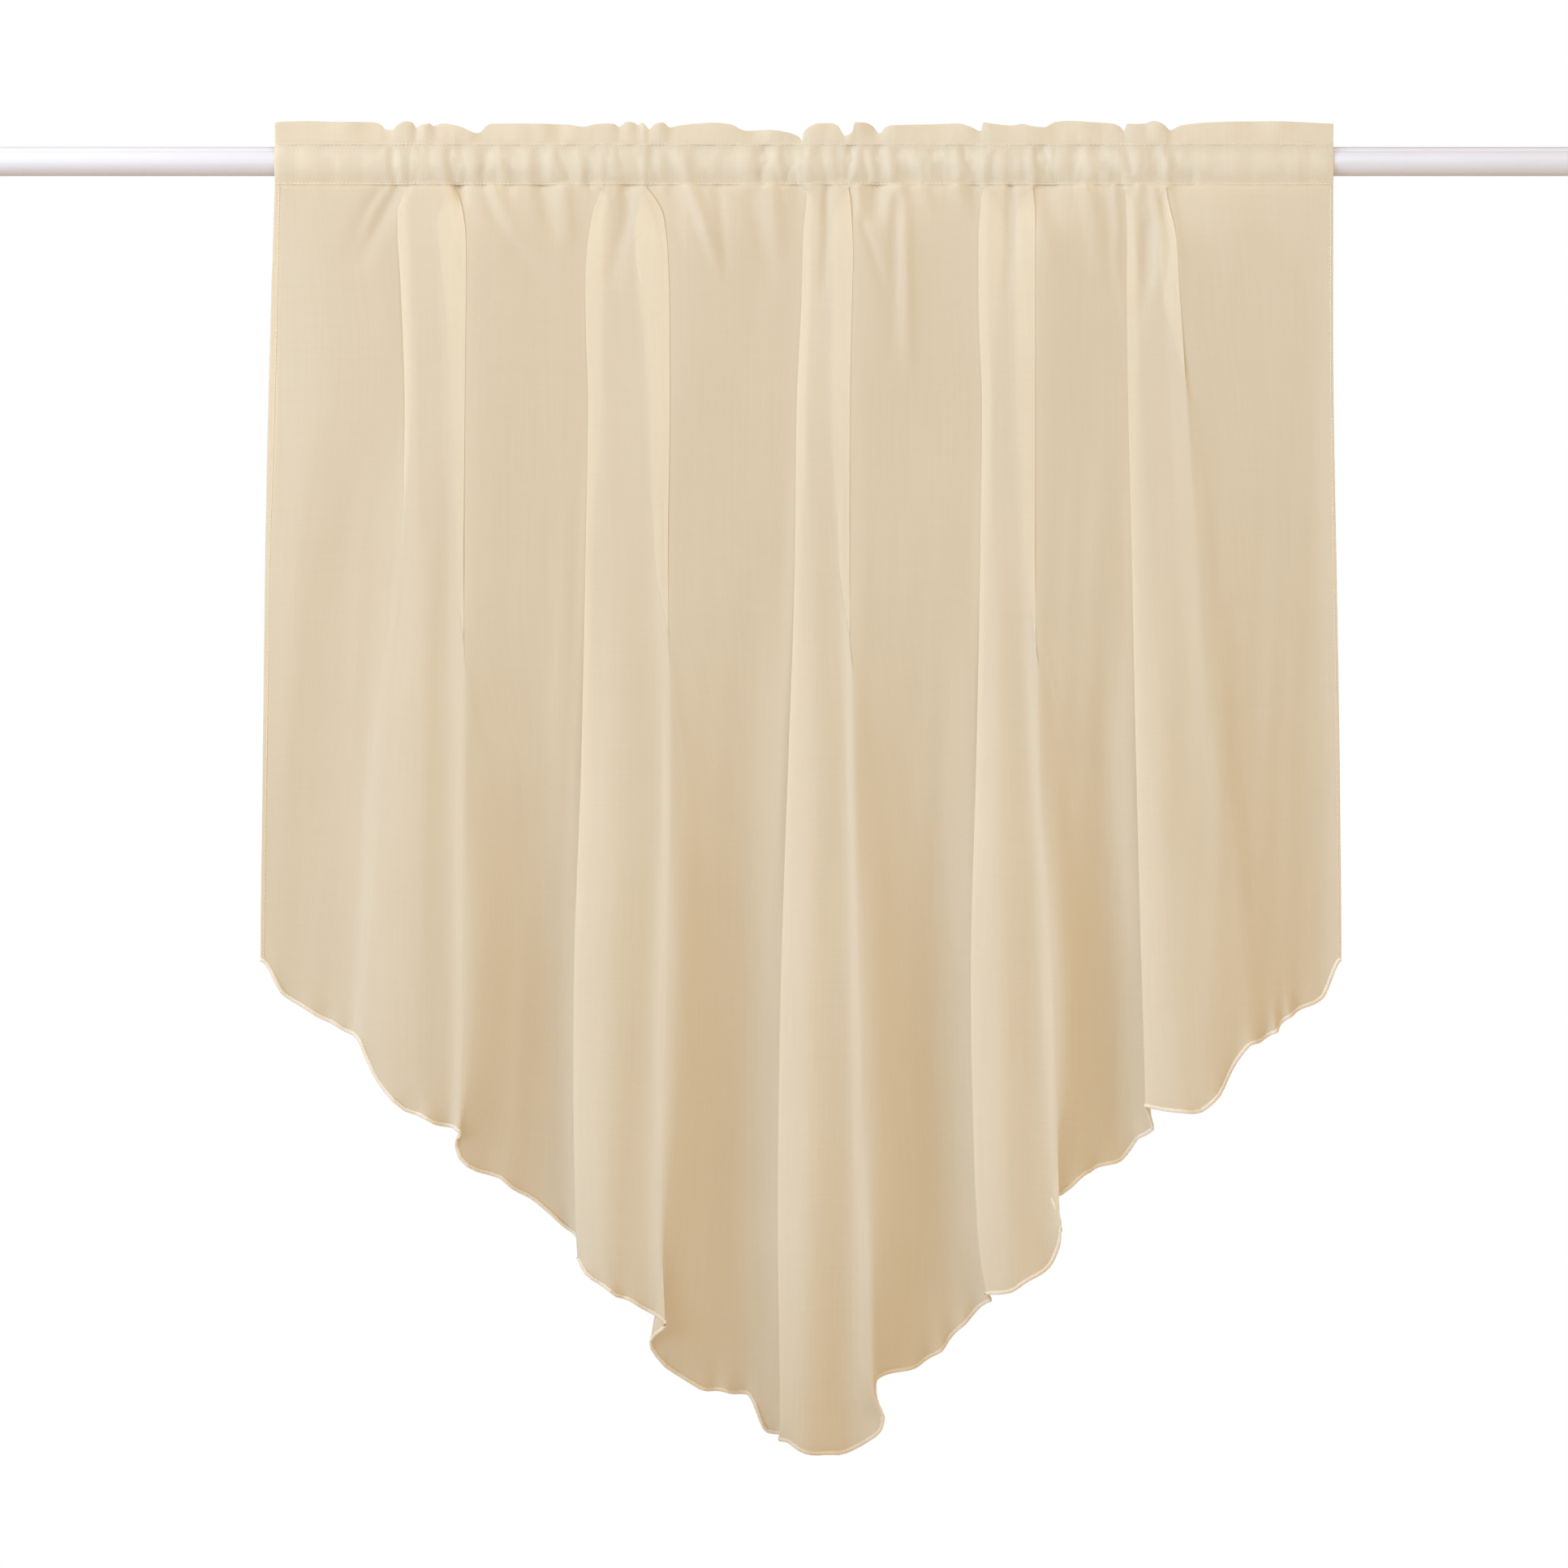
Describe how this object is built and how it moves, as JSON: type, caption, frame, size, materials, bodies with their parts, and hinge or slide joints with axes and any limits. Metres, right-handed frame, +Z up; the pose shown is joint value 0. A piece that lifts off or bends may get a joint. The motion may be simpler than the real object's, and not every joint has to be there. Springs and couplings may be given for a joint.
{
  "type": "cafe curtain on a rod",
  "caption": "Short sheer voile window curtain with a pointed lower edge, gathered by its rod pocket on a plain round rod, with a small frill above it.",
  "frame": {"origin": "on the rod's axis at the middle of the rod's length", "axes": "+X along the rod towards the viewer's right, -Y is the curtain's front, +Z up"},
  "size_m": [1.24, 0.0486, 0.9985],
  "materials": {
    "voile": "matt, fine plain weave, semi-sheer",
    "rod_metal": "satin white-silver"
  },
  "bodies": {
    "root": {"curtain": "voile", "rod": "rod_metal"}
  },
  "joints": []
}
